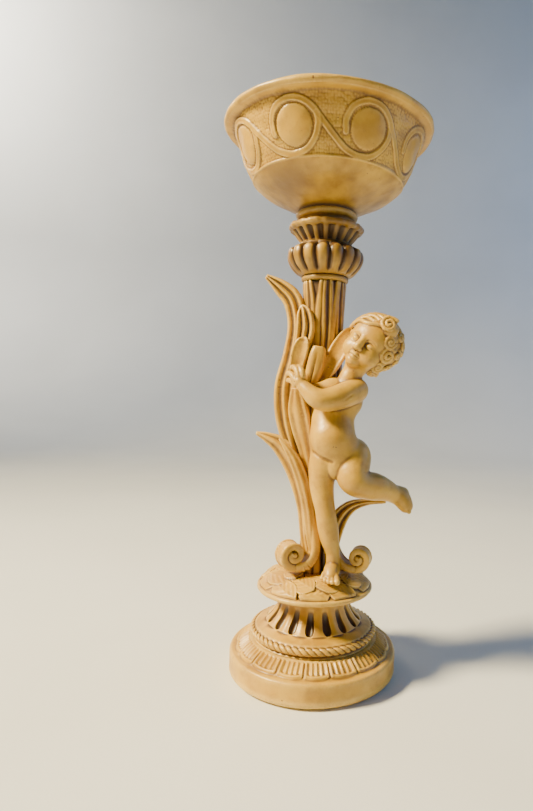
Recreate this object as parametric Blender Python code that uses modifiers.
"""Resin candle bowl carried by a leafy stem that a child hugs: cast sections stacked on one steel tie rod.

Run with: blender --background --python part.py
Units are metres, +Z up. The origin is the middle of the foot, on the table; -Y is the front.
"""

import math

import bmesh
import bpy
from mathutils import Matrix, Vector

MM = 0.001
COLLECTION_NAME = "resin_angel_figurine"
GAP = 0.3 * MM  # glue line or running gap between any two pieces

# Tie rod and its fasteners
ROD_RADIUS = 2.5 * MM
ROD_BORE_CLEARANCE = 0.5 * MM
ROD_END_INSET = 2.4 * MM  # from the table up to the rod's lower end
ROD_GRIP_IN_BOWL = 7.5 * MM
NUT_ACROSS_CORNERS = 9.2 * MM
NUT_HEIGHT = 3.0 * MM
WASHER_RADIUS = 7.5 * MM
WASHER_THICKNESS = 1.0 * MM

# Felt and plinth
FELT_THICKNESS = 1.0 * MM
FELT_INSET = 2.5 * MM
PLINTH_RADIUS = 43.6 * MM
PLINTH_HEIGHT = 11.3 * MM
PLINTH_EDGE = 1.6 * MM
FRIEZE_WIDTH = 6.2 * MM
FRIEZE_HEIGHT = 5.4 * MM
FRIEZE_OUTER_INSET = 4.2 * MM
FRIEZE_LEAVES = 18
FRIEZE_RELIEF = 0.5 * MM
RECESS_CLEARANCE = 1.5 * MM  # around the washer, under the plinth

# Pedestal: rope moulding, sloped shelf and fluted neck
ROPE_RADIUS = 31.4 * MM
ROPE_THICKNESS = 3.4 * MM
CAVETTO_HEIGHT = 1.8 * MM
SHELF_RISE = 2.4 * MM
NECK_FOOT_RADIUS = 25.0 * MM
NECK_RADIUS = 17.6 * MM
NECK_HEIGHT = 15.6 * MM
FLUTES = 16
FLUTE_DEPTH = 2.2 * MM

# Leafy mound
MOUND_RADIUS = 30.4 * MM
MOUND_RIM_HEIGHT = 3.6 * MM
MOUND_RISE = 6.6 * MM
MOUND_RIM_INSET = 1.2 * MM

# Stem
STEM_HEIGHT = 150.6 * MM
STEM_TOP_RADIUS = 11.4 * MM
STEM_WAIST_RADIUS = 8.0 * MM
STEM_REEDS = 12
# Share of the height down from the top, whether the radius there goes with the top's or the waist's, and what
# is added to it in millimetres
STEM_SIDES = (
    (0.00, True, 0.0), (0.12, True, -0.6), (0.30, True, -0.7), (0.46, False, 2.0),
    (0.62, False, 0.8), (0.80, False, 0.0), (0.92, False, 0.8), (1.00, False, 2.4),
)
REED_DEPTH = 0.7 * MM

# Capital and drip collar
ASTRAGAL_RADIUS = 12.6 * MM
ASTRAGAL_HEIGHT = 2.6 * MM
BULB_RADIUS = 19.8 * MM
BULB_HEIGHT = 16.8 * MM
BULB_MIDDLE = 0.6  # share of the height where it is widest
GADROONS = 16
GADROON_DEPTH = 1.3 * MM
COLLAR_RADIUS = 19.4 * MM
COLLAR_NECK_RADIUS = 12.6 * MM
COLLAR_HEIGHT = 9.6 * MM
COLLAR_LIP = 1.8 * MM

# Bowl
BOWL_RADIUS = 53.7 * MM
BOWL_HEIGHT = 49.4 * MM
BOWL_FOOT_RADIUS = 15.6 * MM
BOWL_WALL = 4.2 * MM
BOWL_FLOOR_RADIUS = 14.0 * MM
BOWL_FLOOR_THICKNESS = 10.5 * MM
BOWL_STEPS = 56
MEDALLIONS = 8
MEDALLION_RADIUS = 8.6 * MM
MEDALLION_RELIEF = 0.9 * MM
MEDALLION_PHASE = math.radians(22.0)  # azimuth of the first one from the front

# The figure and the leaves are drawn in millimetres for a stem of this height and radius, and follow its own.
DRAWN_STEM_HEIGHT = 150.6
DRAWN_STEM_FOOT = 52.6
DRAWN_TOP_RADIUS = 11.4 * MM
DRAWN_WAIST_RADIUS = 8.0 * MM
PIN_RADIUS = 0.8 * MM
PIN_CLEARANCE = 0.25 * MM
PIN_LENGTH = 13.0 * MM
PIN_DEPTH_IN_MOUND = 5.0 * MM
FIGURE_VOXEL = 0.95 * MM
FIGURE_KEEP = 0.085  # share of the voxel mesh's faces that is kept
FIGURE_CLEARANCE = 0.55 * MM
LEAF_CLEARANCE = 0.8 * MM  # between leaves that lie against each other
LEAF_STEPS = 2  # lengths that each span between two drawn sections is split into

# Levels, from the table up
PLINTH_BOTTOM = FELT_THICKNESS + GAP
PLINTH_TOP = PLINTH_BOTTOM + PLINTH_HEIGHT
FRIEZE_TOP = PLINTH_TOP + FRIEZE_HEIGHT
PEDESTAL_BOTTOM = FRIEZE_TOP + GAP
ROPE_LEVEL = PEDESTAL_BOTTOM + CAVETTO_HEIGHT + ROPE_THICKNESS / 2
SHELF_LEVEL = ROPE_LEVEL + ROPE_THICKNESS / 2
NECK_FOOT_LEVEL = SHELF_LEVEL + SHELF_RISE
PEDESTAL_TOP = NECK_FOOT_LEVEL + NECK_HEIGHT
MOUND_BOTTOM = PEDESTAL_TOP + GAP
MOUND_TOP = MOUND_BOTTOM + MOUND_RIM_HEIGHT + MOUND_RISE
STEM_BOTTOM = MOUND_TOP + GAP
STEM_TOP = STEM_BOTTOM + STEM_HEIGHT
CAPITAL_BOTTOM = STEM_TOP + GAP
BULB_BOTTOM = CAPITAL_BOTTOM + ASTRAGAL_HEIGHT
CAPITAL_TOP = BULB_BOTTOM + BULB_HEIGHT
COLLAR_BOTTOM = CAPITAL_TOP + GAP
COLLAR_TOP = COLLAR_BOTTOM + COLLAR_HEIGHT
BOWL_BOTTOM = COLLAR_TOP + GAP
BOWL_TOP = BOWL_BOTTOM + BOWL_HEIGHT

BORE_RADIUS = ROD_RADIUS + ROD_BORE_CLEARANCE
RECESS_RADIUS = WASHER_RADIUS + RECESS_CLEARANCE
RECESS_TOP = ROD_END_INSET + NUT_HEIGHT + 2 * GAP + WASHER_THICKNESS + 1.2 * MM
ROD_BOTTOM = ROD_END_INSET
ROD_TOP = BOWL_BOTTOM + ROD_GRIP_IN_BOWL
FIGURE_SCALE = STEM_HEIGHT / (DRAWN_STEM_HEIGHT * MM)


def clear_scene():
    for obj in list(bpy.data.objects):
        bpy.data.objects.remove(obj)


def new_collection(name):
    collection = bpy.data.collections.new(name)
    bpy.context.scene.collection.children.link(collection)
    return collection


def material(name, colour, roughness, metallic=0.0):
    made = bpy.data.materials.new(name)
    made.use_nodes = True
    shader = made.node_tree.nodes["Principled BSDF"]
    shader.inputs["Base Color"].default_value = (*colour, 1.0)
    shader.inputs["Roughness"].default_value = roughness
    shader.inputs["Metallic"].default_value = metallic
    return made


def add_object(name, data, collection, finish=None):
    obj = bpy.data.objects.new(name, data)
    collection.objects.link(obj)
    if finish:
        data.materials.append(finish)
    return obj


def make_cutter(obj):
    obj.hide_render = True
    obj.display_type = "WIRE"
    return obj


def realised(obj, collection, finish=None):
    """The object's evaluated shape as a plain mesh object of the same name, with the first one removed."""
    bpy.context.view_layer.update()
    graph = bpy.context.evaluated_depsgraph_get()
    mesh = bpy.data.meshes.new_from_object(obj.evaluated_get(graph))
    matrix = obj.matrix_world.copy()
    name = obj.name
    bpy.data.objects.remove(obj)
    mesh.transform(matrix)
    shape = bmesh.new()
    shape.from_mesh(mesh)
    bmesh.ops.remove_doubles(shape, verts=shape.verts, dist=0.001 * MM)
    bmesh.ops.recalc_face_normals(shape, faces=shape.faces)
    shape.to_mesh(mesh)
    shape.free()
    mesh.materials.clear()
    return add_object(name, mesh, collection, finish)


def boolean(obj, other, operation="DIFFERENCE"):
    modifier = obj.modifiers.new(operation.lower(), "BOOLEAN")
    modifier.operation = operation
    modifier.solver = "EXACT"
    modifier.object = other
    return modifier


def turned(name, profile, collection, finish=None, steps=48, closed=True):
    """A lathe-turned body. The profile is (radius, height) pairs, down the outer side; closed joins its ends."""
    mesh = bpy.data.meshes.new(name)
    points = [(radius, 0.0, height) for radius, height in profile]
    edges = [(i, i + 1) for i in range(len(points) - 1)]
    if closed:
        edges.append((len(points) - 1, 0))
    mesh.from_pydata(points, edges, [])
    obj = add_object(name, mesh, collection, finish)
    screw = obj.modifiers.new("turn", "SCREW")
    screw.steps = screw.render_steps = steps
    screw.use_merge_vertices = True
    screw.merge_threshold = 0.0001 * MM
    screw.use_smooth_shade = True
    return obj


def reshape_radially(obj, collection, finish, rule):
    """Moves each point of a turned body to the radius that rule(azimuth, height, radius) gives."""
    obj = realised(obj, collection, finish)
    for vertex in obj.data.vertices:
        x, y, z = vertex.co
        radius = math.hypot(x, y)
        scale = rule(math.atan2(y, x), z, radius) / radius
        vertex.co = (x * scale, y * scale, z)
    return obj


def arc(centre, radius, start, end, count):
    """Points of a circular arc in the profile plane; angles are in degrees, from +X towards +Z."""
    return [
        (
            centre[0] + radius * math.cos(math.radians(start + (end - start) * i / count)),
            centre[1] + radius * math.sin(math.radians(start + (end - start) * i / count)),
        )
        for i in range(count + 1)
    ]


def stem_sides(top_radius, waist_radius):
    """(share of the height down from the top, radius) pairs of a stem's outer side."""
    return [
        (share, (top_radius if by_top else waist_radius) + added * MM) for share, by_top, added in STEM_SIDES
    ]


def stem_radius_at(share, top_radius, waist_radius):
    sides = stem_sides(top_radius, waist_radius)
    for (above, first), (below, second) in zip(sides, sides[1:]):
        if share <= below:
            return first + (second - first) * max(0.0, share - above) / (below - above)
    return sides[-1][1]


def figure_point(x, y, z):
    """A point of the drawing of figure and leaves, in metres.

    The drawing is in millimetres from the axis, and above the table, round a stem of the drawn radii.
    A point keeps its distance from the stem's side, times the figure's scale, whatever the stem's radii are.
    """
    share = 1.0 - (z - DRAWN_STEM_FOOT) / DRAWN_STEM_HEIGHT
    drawn = stem_radius_at(share, DRAWN_TOP_RADIUS, DRAWN_WAIST_RADIUS)
    built = stem_radius_at(share, STEM_TOP_RADIUS, STEM_WAIST_RADIUS)
    reach = max(math.hypot(x, y) * MM, 0.1 * MM)
    scale = max(built + (reach - drawn) * FIGURE_SCALE, 0.1 * MM) / reach
    height = (z - DRAWN_STEM_FOOT) * MM * FIGURE_SCALE
    return Vector((x * MM * scale, y * MM * scale, STEM_BOTTOM + height))


# ---------------------------------------------------------------- foot


def felt_pad(collection, finish):
    outer = PLINTH_RADIUS - FELT_INSET
    profile = [(0.0, FELT_THICKNESS), (outer, FELT_THICKNESS), (outer, 0.0), (0.0, 0.0)]
    return turned("felt_pad", profile, collection, finish, closed=False)


def base_plinth(collection, finish):
    frieze_outer = PLINTH_RADIUS - FRIEZE_OUTER_INSET
    frieze_inner = frieze_outer - FRIEZE_WIDTH
    edge_centre = (PLINTH_RADIUS - PLINTH_EDGE, PLINTH_TOP - PLINTH_EDGE)
    profile = [
        (BORE_RADIUS, FRIEZE_TOP),
        (frieze_inner - 1.5 * MM, FRIEZE_TOP),
        (frieze_inner, FRIEZE_TOP - 0.4 * MM),
        ((frieze_inner + frieze_outer) / 2, PLINTH_TOP + FRIEZE_HEIGHT * 0.42),
        (frieze_outer, PLINTH_TOP + 0.5 * MM),
        (frieze_outer + 0.2 * MM, PLINTH_TOP),
        *arc(edge_centre, PLINTH_EDGE, 90, 0, 4),
        (PLINTH_RADIUS, PLINTH_BOTTOM + 0.5 * MM),
        (PLINTH_RADIUS - 0.5 * MM, PLINTH_BOTTOM),
        (RECESS_RADIUS, PLINTH_BOTTOM),
        (RECESS_RADIUS, RECESS_TOP),
        (BORE_RADIUS, RECESS_TOP),
    ]
    plinth = turned("base_plinth", profile, collection, finish, steps=FRIEZE_LEAVES * 3)

    def leaf_relief(azimuth, height, radius):
        on_frieze = frieze_inner - 0.1 * MM < radius < frieze_outer + 0.1 * MM and height > PLINTH_TOP + 0.1 * MM
        return radius + (FRIEZE_RELIEF * math.cos(FRIEZE_LEAVES * azimuth) if on_frieze else 0.0)

    return reshape_radially(plinth, collection, finish, leaf_relief)


def fluted_pedestal(collection, finish):
    foot = ROPE_RADIUS - ROPE_THICKNESS * 0.35
    curve_steps = 8
    neck = []
    for i in range(curve_steps + 1):
        share = i / curve_steps
        neck.append(
            (
                NECK_RADIUS + (NECK_FOOT_RADIUS - NECK_RADIUS) * (1 - share) ** 2.4,
                NECK_FOOT_LEVEL + NECK_HEIGHT * share,
            )
        )
    profile = [
        (BORE_RADIUS, PEDESTAL_TOP),
        *reversed(neck),
        (ROPE_RADIUS - 1.2 * MM, SHELF_LEVEL + 0.6 * MM),
        *arc((ROPE_RADIUS, ROPE_LEVEL), ROPE_THICKNESS / 2, 80, -70, 5),
        (foot, PEDESTAL_BOTTOM + CAVETTO_HEIGHT * 0.5),
        (foot + 0.6 * MM, PEDESTAL_BOTTOM),
        (BORE_RADIUS, PEDESTAL_BOTTOM),
    ]
    pedestal = turned("fluted_pedestal", profile, collection, finish, steps=FLUTES * 3)

    def flute(azimuth, height, radius):
        share = (height - NECK_FOOT_LEVEL) / NECK_HEIGHT
        if radius < NECK_RADIUS * 0.9 or not 0.05 < share < 0.95:
            return radius
        depth = FLUTE_DEPTH * math.sin(math.pi * min(1.0, share * 1.1)) ** 0.6
        return radius - depth * (0.5 + 0.5 * math.cos(FLUTES * azimuth))

    return reshape_radially(pedestal, collection, finish, flute)


def mound_dome(lift=0.0):
    """(radius, height) pairs of the mound's upper side, from the stem's seat outwards, raised by lift."""
    rim_top = MOUND_BOTTOM + MOUND_RIM_HEIGHT
    steps = 6
    dome = []
    for i in range(steps + 1):
        share = i / steps
        radius = STEM_TOP_RADIUS + (MOUND_RADIUS - MOUND_RIM_INSET - STEM_TOP_RADIUS) * share
        dome.append((radius, rim_top + MOUND_RISE * (1 - share**2.6) + lift))
    return dome


def leafy_mound(collection, finish):
    rim_top = MOUND_BOTTOM + MOUND_RIM_HEIGHT
    profile = [
        (BORE_RADIUS, MOUND_TOP),
        *mound_dome(),
        (MOUND_RADIUS, rim_top - 0.9 * MM),
        (MOUND_RADIUS - 0.6 * MM, MOUND_BOTTOM + 1.2 * MM),
        (NECK_RADIUS + 1.0 * MM, MOUND_BOTTOM),
        (BORE_RADIUS, MOUND_BOTTOM),
    ]
    return turned("leafy_mound", profile, collection, finish)


# ---------------------------------------------------------------- stem and leaves


def stem_profile(grow=0.0):
    """(radius, height) pairs of the stem's outer side, top to bottom."""
    sides = stem_sides(STEM_TOP_RADIUS, STEM_WAIST_RADIUS)
    return [(radius + grow, STEM_TOP - share * STEM_HEIGHT) for share, radius in sides]


def reeded_stem(collection, finish):
    profile = [(BORE_RADIUS, STEM_TOP), *stem_profile(), (BORE_RADIUS, STEM_BOTTOM)]
    stem = turned("reeded_stem", profile, collection, finish, steps=STEM_REEDS * 4)

    def reed(azimuth, _height, radius):
        if radius < BORE_RADIUS * 1.2:
            return radius
        return radius - REED_DEPTH * (0.5 + 0.5 * math.cos(STEM_REEDS * azimuth))

    return reshape_radially(stem, collection, finish, reed)


def stem_cutter(collection):
    """The stem with its glue line around it, which the leaves and the figure are cut by."""
    sides = stem_profile(GAP)
    top = (sides[0][0], STEM_TOP + 5 * MM)
    bottom = (sides[-1][0], STEM_BOTTOM - 5 * MM)
    profile = [(0.0, top[1]), top, *sides, bottom, (0.0, bottom[1])]
    return make_cutter(turned("stem_cutter", profile, collection, steps=STEM_REEDS * 4, closed=False))


def between(before, start, end, after, share):
    """A point of the smooth curve through four rows of numbers, between its second and third."""
    square = share * share
    cube = square * share
    return tuple(
        0.5 * (2 * b + (c - a) * share + (2 * a - 5 * b + 4 * c - d) * square + (3 * b - a - 3 * c + d) * cube)
        for a, b, c, d in zip(before, start, end, after)
    )


def smoothed(rows, steps):
    """The rows with smooth ones added between them, steps to each length."""
    found = []
    for i in range(len(rows) - 1):
        around = rows[max(0, i - 1)], rows[i], rows[i + 1], rows[min(len(rows) - 1, i + 2)]
        found += [between(*around, step / steps) for step in range(steps)]
    return [*found, rows[-1]]


def leaf_blade(name, rows, facing, collection, finish=None, grow=0.0):
    """A ribbed blade lofted from root to tip.

    Each row is a place on its middle line, a half width and a half thickness, in the drawing's millimetres.
    The blade's face looks to the azimuth facing, in degrees: 0 is the front and 90 the right.
    """
    face = Vector((math.sin(math.radians(facing)), -math.cos(math.radians(facing)), 0.0))
    rows = smoothed(rows, LEAF_STEPS)
    middles = [figure_point(*row[:3]) for row in rows]
    mesh = bpy.data.meshes.new(name)
    shape = bmesh.new()
    rings = []
    for i, row in enumerate(rows):
        along = (middles[min(len(rows) - 1, i + 1)] - middles[max(0, i - 1)]).normalized()
        side = along.cross(face).normalized()
        outwards = side.cross(along)
        push = grow * ((i == len(rows) - 1) - (i == 0))
        half_width = row[3] * MM * FIGURE_SCALE + grow
        half_thickness = row[4] * MM * FIGURE_SCALE + grow
        rings.append(
            [
                shape.verts.new(
                    middles[i] + along * push + side * half_width * across + outwards * half_thickness * out
                )
                for across, out in LEAF_SECTION
            ]
        )
    count = len(LEAF_SECTION)
    for first, second in zip(rings, rings[1:]):
        for k in range(count):
            shape.faces.new((first[k], first[(k + 1) % count], second[(k + 1) % count], second[k]))
    shape.faces.new(rings[0])
    shape.faces.new(rings[-1])
    bmesh.ops.triangulate(shape, faces=shape.faces)
    bmesh.ops.recalc_face_normals(shape, faces=shape.faces)
    for polygon in shape.faces:
        polygon.smooth = True
    shape.to_mesh(mesh)
    shape.free()
    return add_object(name, mesh, collection, finish)


def scroll(name, rows, collection, finish):
    """A rolled band: rows are places on its middle line and a half width, in the drawing's millimetres."""
    curve = bpy.data.curves.new(name, "CURVE")
    curve.dimensions = "3D"
    curve.resolution_u = 3
    curve.bevel_depth = 1.0
    curve.bevel_resolution = 1
    curve.use_fill_caps = True
    spline = curve.splines.new("BEZIER")
    spline.bezier_points.add(len(rows) - 1)
    for point, (x, y, z, half_width) in zip(spline.bezier_points, rows):
        point.co = figure_point(x, y, z)
        point.radius = half_width * MM * FIGURE_SCALE
        point.handle_left_type = point.handle_right_type = "AUTO"
    return realised(add_object(name, curve, collection), collection, finish)


# Places across (-1 to 1) and out (1 is the face) round a blade's section: two channels beside a middle rib.
LEAF_SECTION = (
    (-1.0, 0.1), (-0.6, 0.8), (-0.25, 0.45), (0.0, 1.0), (0.25, 0.45), (0.6, 0.8), (1.0, 0.1),
    (0.5, -0.8), (-0.5, -0.8),
)
# name: (azimuth that it faces, rows from root to tip)
LEAVES = {
    "tall_leaf": (
        -25.0,
        (
            (-12.4, -5.0, 119.0, 5.0, 2.8), (-16.6, -5.0, 132.0, 6.9, 3.2), (-17.6, -5.0, 148.0, 6.9, 3.4),
            (-14.4, -4.6, 164.0, 6.4, 3.2), (-13.0, -3.6, 180.0, 5.8, 3.0), (-16.6, -1.6, 193.0, 4.8, 2.6),
            (-30.6, 0.0, 206.0, 0.9, 0.9),
        ),
    ),
    "lobe_leaf": (
        -12.0,
        (
            (-10.0, -8.6, 162.0, 3.2, 2.2), (-9.8, -9.2, 172.0, 3.8, 2.4), (-9.8, -9.2, 182.0, 4.2, 2.4),
            (-10.8, -8.8, 189.6, 2.2, 1.6),
        ),
    ),
    "curled_leaf": (
        -15.0,
        (
            (-13.0, -10.4, 157.6, 3.4, 2.8), (-11.6, -11.4, 164.0, 4.4, 3.0), (-10.2, -12.0, 169.6, 4.2, 2.8),
            (-9.4, -12.0, 173.2, 2.2, 1.6),
        ),
    ),
    "bud_leaf": (
        0.0,
        ((-5.8, -11.8, 151.0, 3.4, 2.4), (-3.8, -12.4, 159.0, 3.8, 2.8), (-2.2, -12.2, 167.6, 3.2, 2.2)),
    ),
    "head_leaf": (
        -10.0,
        (
            (0.8, -11.4, 153.4, 3.0, 2.2), (5.6, -11.2, 161.4, 4.4, 2.4), (9.6, -9.6, 170.0, 4.8, 2.6),
            (14.0, -6.8, 178.4, 2.6, 1.8),
        ),
    ),
    "inner_blade": (
        -20.0,
        (
            (-7.6, -8.4, 117.6, 2.4, 2.0), (-10.4, -9.0, 128.0, 4.8, 2.6), (-12.2, -9.8, 138.0, 4.6, 2.6),
            (-12.6, -10.4, 148.0, 2.6, 1.6),
        ),
    ),
    "low_leaf": (
        -10.0,
        (
            (-5.8, -6.0, 72.6, 2.6, 2.6), (-6.4, -6.0, 86.0, 3.8, 2.8), (-9.2, -6.0, 98.0, 4.8, 2.8),
            (-13.6, -5.0, 109.0, 5.6, 2.8), (-20.6, -4.0, 117.4, 4.4, 2.6), (-32.8, -3.0, 123.8, 0.8, 0.9),
        ),
    ),
    "low_blade": (
        0.0,
        (
            (-3.6, -9.4, 73.0, 2.2, 2.2), (-5.2, -9.8, 87.0, 2.8, 2.4), (-8.0, -10.6, 101.0, 3.2, 2.4),
            (-12.6, -10.8, 112.0, 2.8, 2.2), (-19.4, -10.4, 120.6, 0.8, 0.9),
        ),
    ),
    "cradle_leaf": (
        0.0,
        (
            (8.0, -5.6, 67.6, 3.6, 3.0), (9.6, -6.0, 74.6, 4.0, 3.2), (12.4, -6.0, 82.4, 3.8, 3.2),
            (18.0, -6.0, 87.6, 2.6, 2.6), (26.0, -6.0, 89.4, 1.2, 1.4), (33.6, -6.0, 89.2, 0.7, 0.8),
        ),
    ),
    "rear_leaf": (
        165.0,
        (
            (-1.0, 10.0, 66.0, 3.4, 2.4), (-1.4, 10.2, 84.0, 4.2, 2.8), (-0.4, 12.0, 104.0, 5.0, 3.0),
            (2.0, 15.0, 122.0, 4.8, 2.8), (5.6, 23.0, 134.0, 0.9, 0.9),
        ),
    ),
    "rear_blade": (
        -150.0,
        (
            (-5.6, 10.4, 132.0, 3.0, 2.2), (-5.4, 12.0, 148.0, 4.4, 2.6), (-4.0, 12.2, 166.0, 4.0, 2.6),
            (-4.0, 14.6, 182.0, 1.0, 1.0),
        ),
    ),
}
# Which earlier pieces a leaf is cut clear of, where they would meet
LEAVES_MET = {
    "lobe_leaf": ("tall_leaf",),
    "curled_leaf": ("tall_leaf", "lobe_leaf"),
    "bud_leaf": ("curled_leaf",),
    "head_leaf": ("bud_leaf",),
    "inner_blade": ("tall_leaf",),
    "low_leaf": ("tall_leaf",),
    "low_blade": ("low_leaf", "tall_leaf", "inner_blade"),
}
SCROLLS = {
    "left_scroll": (
        (-2.6, -8.6, 68.4, 2.8), (-5.4, -11.2, 61.6, 2.8), (-11.6, -12.4, 58.2, 2.6), (-17.6, -12.6, 60.6, 2.5),
        (-19.8, -12.6, 66.0, 2.4), (-16.6, -12.6, 70.0, 2.3), (-12.2, -12.8, 68.2, 2.0), (-12.6, -13.4, 64.2, 2.4),
    ),
    "right_scroll": (
        (6.0, -6.4, 63.4, 2.4), (10.6, -8.2, 59.0, 2.4), (16.4, -8.8, 57.0, 2.4), (23.4, -8.8, 57.2, 2.3),
        (26.8, -8.8, 61.6, 2.2), (24.6, -8.8, 66.0, 2.2), (20.4, -9.0, 65.0, 2.0), (20.8, -9.6, 61.4, 2.2),
    ),
    "rear_scroll": (
        (-2.4, 8.6, 62.6, 2.6), (-2.0, 13.0, 57.6, 2.6), (-1.4, 19.6, 57.2, 2.4), (-1.0, 24.0, 62.0, 2.4),
        (-1.0, 22.0, 67.0, 2.2), (-1.0, 17.6, 67.0, 2.0), (-1.0, 17.4, 63.0, 2.2),
    ),
}


def foliage(collection, cutters, finish, stem, figure):
    """The leaves and scrolls round the stem, each a casting of its own, cut clear of what it meets."""
    for name, (facing, rows) in LEAVES.items():
        leaf = leaf_blade(name, rows, facing, collection, finish)
        boolean(leaf, stem)
        if name in LEAVES_BY_FIGURE:
            boolean(leaf, figure)
        for other in LEAVES_MET.get(name, ()):
            other_facing, other_rows = LEAVES[other]
            grown = leaf_blade(other + "_cutter_for_" + name, other_rows, other_facing, cutters, grow=LEAF_CLEARANCE)
            boolean(leaf, make_cutter(grown))
    for name, rows in SCROLLS.items():
        band = scroll(name, rows, collection, finish)
        boolean(band, stem)
        if name in LEAVES_BY_FIGURE:
            boolean(band, figure)


# ---------------------------------------------------------------- putto

# Limbs as chains of (x, y, z, radius) in the drawing's millimetres; y is negative towards the front.
STANDING_LEG = (
    (3.4, -13.0, 112.0, 8.8), (2.8, -14.0, 102.0, 7.2), (3.4, -15.0, 91.0, 6.2), (5.2, -15.2, 82.0, 5.3),
    (6.6, -14.4, 74.0, 5.0), (8.4, -13.4, 64.0, 3.6), (8.9, -12.6, 59.4, 3.2), (9.0, -12.4, 55.8, 3.7),
    (8.4, -16.4, 54.8, 3.4), (8.0, -20.6, 53.2, 3.0),
)
RAISED_LEG = (
    (16.6, -12.4, 113.0, 9.6), (16.8, -17.0, 107.0, 8.2), (17.6, -19.6, 103.4, 7.4), (21.6, -17.6, 100.6, 7.2),
    (30.6, -12.6, 98.6, 6.5), (38.6, -8.0, 95.0, 4.8),
)
RAISED_FOOT = ((42.4, -5.6, 94.6, 4.5), (44.6, -6.2, 91.0, 4.5), (46.4, -7.2, 87.8, 3.6))
LEFT_ARM = (
    (17.4, -14.4, 148.4, 5.4), (10.4, -21.0, 145.4, 4.8), (2.0, -25.0, 142.4, 4.6), (-3.2, -24.6, 143.6, 4.2),
    (-8.4, -22.8, 148.2, 2.9), (-11.4, -20.6, 152.4, 3.4), (-13.6, -18.0, 157.0, 2.2),
)
TORSO = (
    ((10.6, -12.4, 114.6), (14.4, 10.6, 11.0)), ((6.6, -15.4, 123.6), (11.6, 10.2, 12.0)),
    ((6.4, -12.6, 132.0), (11.0, 8.8, 11.0)), ((8.8, -12.2, 142.6), (12.8, 8.6, 11.4)),
    ((18.6, -6.6, 113.6), (8.2, 8.6, 9.6)), ((4.6, -12.0, 148.4), (6.0, 5.4, 5.0)),
)
NECK = ((13.4, -12.8, 150.0, 5.4), (17.4, -13.2, 160.0, 4.4))
HEAD = (((25.2, -12.6, 170.6), (13.6, 12.8, 13.6)), ((17.4, -17.2, 164.6), (7.6, 7.2, 7.4)))
CURLS = (
    (30.6, -16.0, 181.0, 4.6), (24.6, -14.0, 182.6, 4.4), (36.0, -11.4, 174.0, 4.4), (34.6, -13.0, 165.6, 4.6),
    (28.0, -6.0, 180.0, 5.0), (33.0, -5.0, 175.0, 5.4), (17.2, -11.4, 178.0, 3.6), (29.6, -9.6, 160.8, 4.4),
)
RIGHT_ARM = (
    (6.0, -13.0, 149.0, 4.6), (0.4, -14.0, 147.0, 4.0), (-5.0, -13.4, 147.4, 3.2), (-9.6, -12.0, 150.6, 2.6),
)
# Leaves and scrolls that the figure leans on or holds
LEAVES_BY_FIGURE = (
    "tall_leaf", "curled_leaf", "bud_leaf", "head_leaf", "inner_blade", "low_blade", "cradle_leaf", "left_scroll",
    "right_scroll",
)


def add_ball(shape, centre, radii):
    matrix = Matrix.Translation(centre) @ Matrix.Diagonal((*radii, 1.0))
    bmesh.ops.create_uvsphere(shape, u_segments=20, v_segments=12, radius=1.0, matrix=matrix)


def add_chain(shape, chain, grow):
    """Balls at the chain's points, joined by tapered lengths."""
    points = [figure_point(*point[:3]) for point in chain]
    radii = [point[3] * MM * FIGURE_SCALE + grow for point in chain]
    for centre, radius in zip(points, radii):
        add_ball(shape, centre, (radius, radius, radius))
    for start, end, first, second in zip(points, points[1:], radii, radii[1:]):
        along = end - start
        matrix = Matrix.Translation((start + end) / 2) @ along.to_track_quat("Z", "Y").to_matrix().to_4x4()
        bmesh.ops.create_cone(
            shape, cap_ends=True, segments=20, radius1=first, radius2=second, depth=along.length, matrix=matrix
        )


def figure_mesh(name, grow, collection, finish=None):
    """The child's body, one casting: balls and tapers run together by a voxel remesh."""
    mesh = bpy.data.meshes.new(name)
    shape = bmesh.new()
    for chain in (STANDING_LEG, RAISED_LEG + RAISED_FOOT, LEFT_ARM, RIGHT_ARM, NECK):
        add_chain(shape, chain, grow)
    for centre, radii in TORSO + HEAD:
        grown = tuple(radius * MM * FIGURE_SCALE + grow for radius in radii)
        add_ball(shape, figure_point(*centre), grown)
    for x, y, z, radius in CURLS:
        grown = radius * MM * FIGURE_SCALE + grow
        add_ball(shape, figure_point(x, y, z), (grown, grown, grown))
    shape.to_mesh(mesh)
    shape.free()
    obj = add_object(name, mesh, collection, finish)
    remesh = obj.modifiers.new("run_together", "REMESH")
    remesh.mode = "VOXEL"
    remesh.voxel_size = FIGURE_VOXEL
    smooth = obj.modifiers.new("smooth", "SMOOTH")
    smooth.factor = 0.5
    smooth.iterations = 3
    decimate = obj.modifiers.new("thin_out", "DECIMATE")
    decimate.ratio = FIGURE_KEEP
    return realised(obj, collection, finish)


def pin_axis():
    foot = figure_point(*STANDING_LEG[5][:3])
    return foot.x, foot.y


def pin_solid(name, radius, bottom, top, collection, finish=None):
    x, y = pin_axis()
    mesh = bpy.data.meshes.new(name)
    shape = bmesh.new()
    bmesh.ops.create_cone(
        shape, cap_ends=True, segments=16, radius1=radius, radius2=radius, depth=top - bottom,
        matrix=Matrix.Translation((x, y, (bottom + top) / 2)),
    )
    shape.to_mesh(mesh)
    shape.free()
    return add_object(name, mesh, collection, finish)


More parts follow.
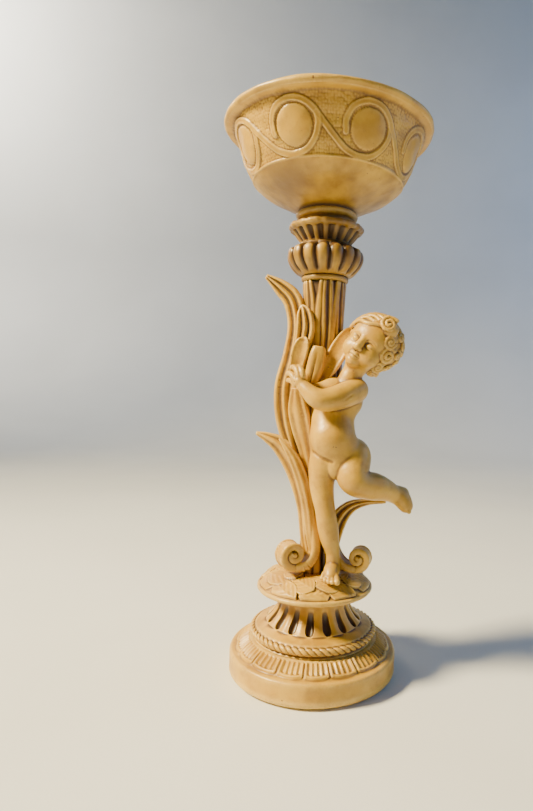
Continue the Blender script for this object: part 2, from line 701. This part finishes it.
def putto(collection, cutters, finish, steel, stem, mound):
    """The figure, its cut for the stem and the mound, and the pin from its standing foot into the mound."""
    body = figure_mesh("putto", 0.0, collection, finish)
    boolean(body, stem)
    seat = turned(
        "seat_cutter",
        [(0.0, MOUND_TOP + GAP), *mound_dome(GAP), (MOUND_RADIUS, MOUND_BOTTOM), (0.0, MOUND_BOTTOM)],
        cutters, steps=32, closed=False,
    )
    boolean(body, make_cutter(seat))
    pin_bottom = MOUND_TOP - PIN_DEPTH_IN_MOUND
    pin_top = pin_bottom + PIN_LENGTH
    hole = pin_solid("pin_hole", PIN_RADIUS + PIN_CLEARANCE, pin_bottom - GAP, pin_top + GAP, cutters)
    make_cutter(hole)
    boolean(body, hole)
    boolean(mound, hole)
    pin_solid("foot_pin", PIN_RADIUS, pin_bottom, pin_top, collection, steel)


# ---------------------------------------------------------------- top


def capital(collection, finish):
    middle = BULB_BOTTOM + BULB_HEIGHT * BULB_MIDDLE
    waist = ASTRAGAL_RADIUS - 0.6 * MM
    bulb = []
    bulb_steps = 9
    for i in range(bulb_steps + 1):
        angle = math.radians(84 - 164 * i / bulb_steps)
        radius = waist + (BULB_RADIUS - waist) * max(0.0, math.cos(angle)) ** 0.8
        reach = 0.96 - BULB_MIDDLE if angle > 0 else BULB_MIDDLE - 0.04
        bulb.append((radius, middle + BULB_HEIGHT * reach * math.sin(angle)))
    profile = [
        (BORE_RADIUS, CAPITAL_TOP),
        (waist, CAPITAL_TOP),
        *bulb,
        (waist, BULB_BOTTOM),
        *arc((ASTRAGAL_RADIUS - ASTRAGAL_HEIGHT * 0.45, CAPITAL_BOTTOM + ASTRAGAL_HEIGHT / 2),
             ASTRAGAL_HEIGHT * 0.45, 70, -70, 4),
        (waist, CAPITAL_BOTTOM),
        (BORE_RADIUS, CAPITAL_BOTTOM),
    ]
    body = turned("capital", profile, collection, finish, steps=GADROONS * 3)

    def gadroon(azimuth, height, radius):
        if height < BULB_BOTTOM + 0.2 * MM or radius < waist + 0.3 * MM:
            return radius
        share = (radius - waist) / (BULB_RADIUS - waist)
        valley = 1.0 - abs(math.cos(GADROONS / 2 * azimuth))
        return radius - GADROON_DEPTH * share * valley

    return reshape_radially(body, collection, finish, gadroon)


def drip_collar(collection, finish):
    lip_bottom = COLLAR_TOP - COLLAR_LIP
    flare = []
    flare_steps = 5
    for i in range(flare_steps + 1):
        share = i / flare_steps
        flare.append(
            (
                COLLAR_NECK_RADIUS + (COLLAR_RADIUS - COLLAR_NECK_RADIUS) * (1 - share) ** 2,
                lip_bottom - (lip_bottom - COLLAR_BOTTOM) * share,
            )
        )
    profile = [
        (BORE_RADIUS, COLLAR_TOP),
        (COLLAR_RADIUS - 1.0 * MM, COLLAR_TOP),
        (COLLAR_RADIUS, COLLAR_TOP - 0.8 * MM),
        *flare,
        (BORE_RADIUS, COLLAR_BOTTOM),
    ]
    return turned("drip_collar", profile, collection, finish)


def bowl_outside():
    """(radius, height) pairs of the bowl's outer side, rim to foot."""
    belly = (
        (0.905, 0.885), (0.862, 0.765), (0.818, 0.614), (0.747, 0.463), (0.690, 0.375), (0.514, 0.248), (0.400, 0.190),
    )
    lip = [
        (BOWL_RADIUS - 1.3 * MM, BOWL_TOP),
        (BOWL_RADIUS, BOWL_TOP - 1.2 * MM),
        (BOWL_RADIUS * 0.957, BOWL_TOP - 3.6 * MM),
    ]
    return lip + [(BOWL_RADIUS * radius, BOWL_BOTTOM + BOWL_HEIGHT * height) for radius, height in belly]


def bowl(collection, cutters, finish):
    outside = bowl_outside()
    floor = BOWL_BOTTOM + BOWL_FLOOR_THICKNESS
    inside = [(radius - BOWL_WALL, height + BOWL_WALL * 0.35) for radius, height in outside[2:-1]]
    inside = [point for point in inside if point[1] > floor + 1.2 * MM and point[0] > BOWL_FLOOR_RADIUS + 2 * MM]
    profile = [
        (0.0, floor),
        (BOWL_FLOOR_RADIUS, floor),
        *reversed(inside),
        (BOWL_RADIUS - 1.3 * MM - BOWL_WALL * 0.8, BOWL_TOP),
        *outside,
        (BOWL_FOOT_RADIUS + 1.2 * MM, BOWL_BOTTOM + 5.4 * MM),
        (BOWL_FOOT_RADIUS, BOWL_BOTTOM + 4.0 * MM),
        (BOWL_FOOT_RADIUS, BOWL_BOTTOM),
        (BORE_RADIUS, BOWL_BOTTOM),
        (BORE_RADIUS, ROD_TOP + GAP),
        (0.0, ROD_TOP + GAP),
    ]
    body = turned("bowl", profile, collection, finish, steps=BOWL_STEPS, closed=False)
    upper, lower = outside[3], outside[5]
    tilt = math.atan2(upper[0] - lower[0], upper[1] - lower[1])
    middle_radius = (upper[0] + lower[0]) / 2
    middle_height = (upper[1] + lower[1]) / 2
    mesh = bpy.data.meshes.new("medallions")
    shape = bmesh.new()
    for i in range(MEDALLIONS):
        azimuth = MEDALLION_PHASE + i * math.tau / MEDALLIONS
        place = (
            Matrix.Rotation(azimuth, 4, "Z")
            @ Matrix.Translation((0.0, -middle_radius, middle_height))
            @ Matrix.Rotation(math.radians(90.0) + tilt, 4, "X")
        )
        bmesh.ops.create_cone(
            shape, cap_ends=True, segments=20, radius1=MEDALLION_RADIUS, radius2=MEDALLION_RADIUS - 0.8 * MM,
            depth=2 * MEDALLION_RELIEF + 1.6 * MM, matrix=place,
        )
    shape.to_mesh(mesh)
    shape.free()
    boolean(body, make_cutter(add_object("medallions", mesh, cutters)), "UNION")
    return body


# ---------------------------------------------------------------- tie rod


def tie_rod(collection, steel):
    mesh = bpy.data.meshes.new("tie_rod")
    shape = bmesh.new()
    bmesh.ops.create_cone(
        shape, cap_ends=True, segments=24, radius1=ROD_RADIUS, radius2=ROD_RADIUS, depth=ROD_TOP - ROD_BOTTOM,
        matrix=Matrix.Translation((0, 0, (ROD_TOP + ROD_BOTTOM) / 2)),
    )
    shape.to_mesh(mesh)
    shape.free()
    add_object("tie_rod", mesh, collection, steel)


def rod_fasteners(collection, steel):
    nut_bottom = ROD_BOTTOM + 0.6 * MM
    inner = ROD_RADIUS + GAP
    nut = [(inner, nut_bottom + NUT_HEIGHT), (NUT_ACROSS_CORNERS / 2, nut_bottom + NUT_HEIGHT),
           (NUT_ACROSS_CORNERS / 2, nut_bottom), (inner, nut_bottom)]
    bored_nut = turned("clamp_nut", nut, collection, steel, steps=6 * 4)

    def hexagon(azimuth, _height, radius):
        if radius < (inner + NUT_ACROSS_CORNERS / 2) / 2:
            return radius
        within = (azimuth % math.radians(60.0)) - math.radians(30.0)
        return radius * math.cos(math.radians(30.0)) / math.cos(within)

    reshape_radially(bored_nut, collection, steel, hexagon)
    washer_bottom = nut_bottom + NUT_HEIGHT + GAP
    washer = [(inner, washer_bottom + WASHER_THICKNESS), (WASHER_RADIUS, washer_bottom + WASHER_THICKNESS),
              (WASHER_RADIUS, washer_bottom), (inner, washer_bottom)]
    turned("clamp_washer", washer, collection, steel, steps=24)


def main():
    clear_scene()
    model = new_collection(COLLECTION_NAME)
    cutters = new_collection("cutters")
    resin = material("ivory_resin", (0.72, 0.54, 0.29), 0.5)
    felt = material("felt", (0.10, 0.16, 0.11), 0.95)
    steel = material("zinc_plated_steel", (0.62, 0.62, 0.60), 0.35, 1.0)

    felt_pad(model, felt)
    base_plinth(model, resin)
    fluted_pedestal(model, resin)
    mound = leafy_mound(model, resin)
    reeded_stem(model, resin)
    stem = stem_cutter(cutters)
    figure = make_cutter(figure_mesh("figure_cutter", FIGURE_CLEARANCE, cutters))
    foliage(model, cutters, resin, stem, figure)
    putto(model, cutters, resin, steel, stem, mound)
    capital(model, resin)
    drip_collar(model, resin)
    bowl(model, cutters, resin)
    tie_rod(model, steel)
    rod_fasteners(model, steel)


main()
